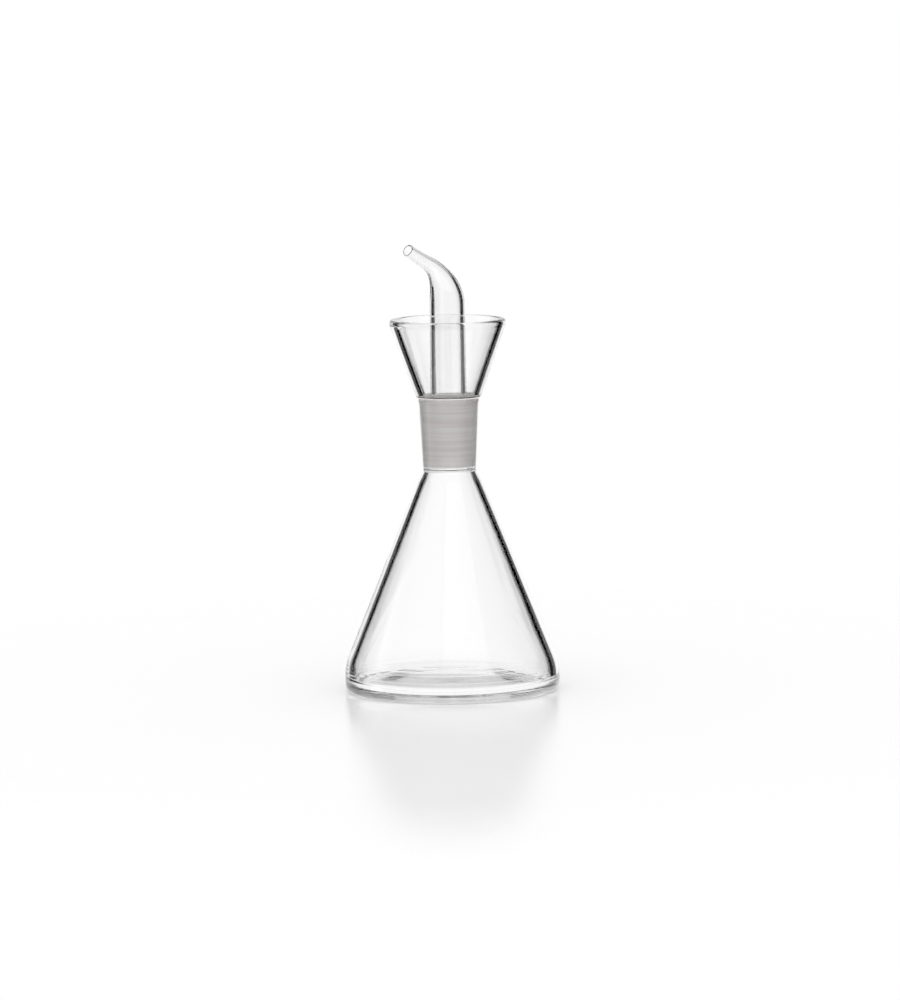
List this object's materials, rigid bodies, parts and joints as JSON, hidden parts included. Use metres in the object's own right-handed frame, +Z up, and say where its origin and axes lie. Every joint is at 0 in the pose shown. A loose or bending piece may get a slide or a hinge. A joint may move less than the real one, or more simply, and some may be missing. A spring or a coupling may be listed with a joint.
{
  "type": "oil cruet",
  "caption": "Conical glass oil cruet with a ground neck and a lift-out pourer: a ground cone, a drip funnel and a bent pouring spout.",
  "frame": {"origin": "on the flask's axis, at the plane that the flask stands on", "axes": "+Z up along the flask's axis; the spout bends towards the middle of the -X and -Y directions"},
  "size_m": [0.09, 0.09, 0.1882],
  "materials": {
    "clear_glass": "clear, fire-polished borosilicate",
    "ground_glass": "ground matt, with fine level grinding lines"
  },
  "bodies": {
    "flask": {"flask_body": "clear_glass", "neck_socket": "ground_glass"},
    "pourer": {"stopper_cone": "ground_glass", "drip_funnel": "clear_glass", "pouring_spout": "clear_glass"}
  },
  "joints": [
    {"name": "pourer_lift", "type": "slide", "parent": "flask", "child": "pourer", "axis": [0, 0, 1], "range_m": [0, 0.045]}
  ]
}
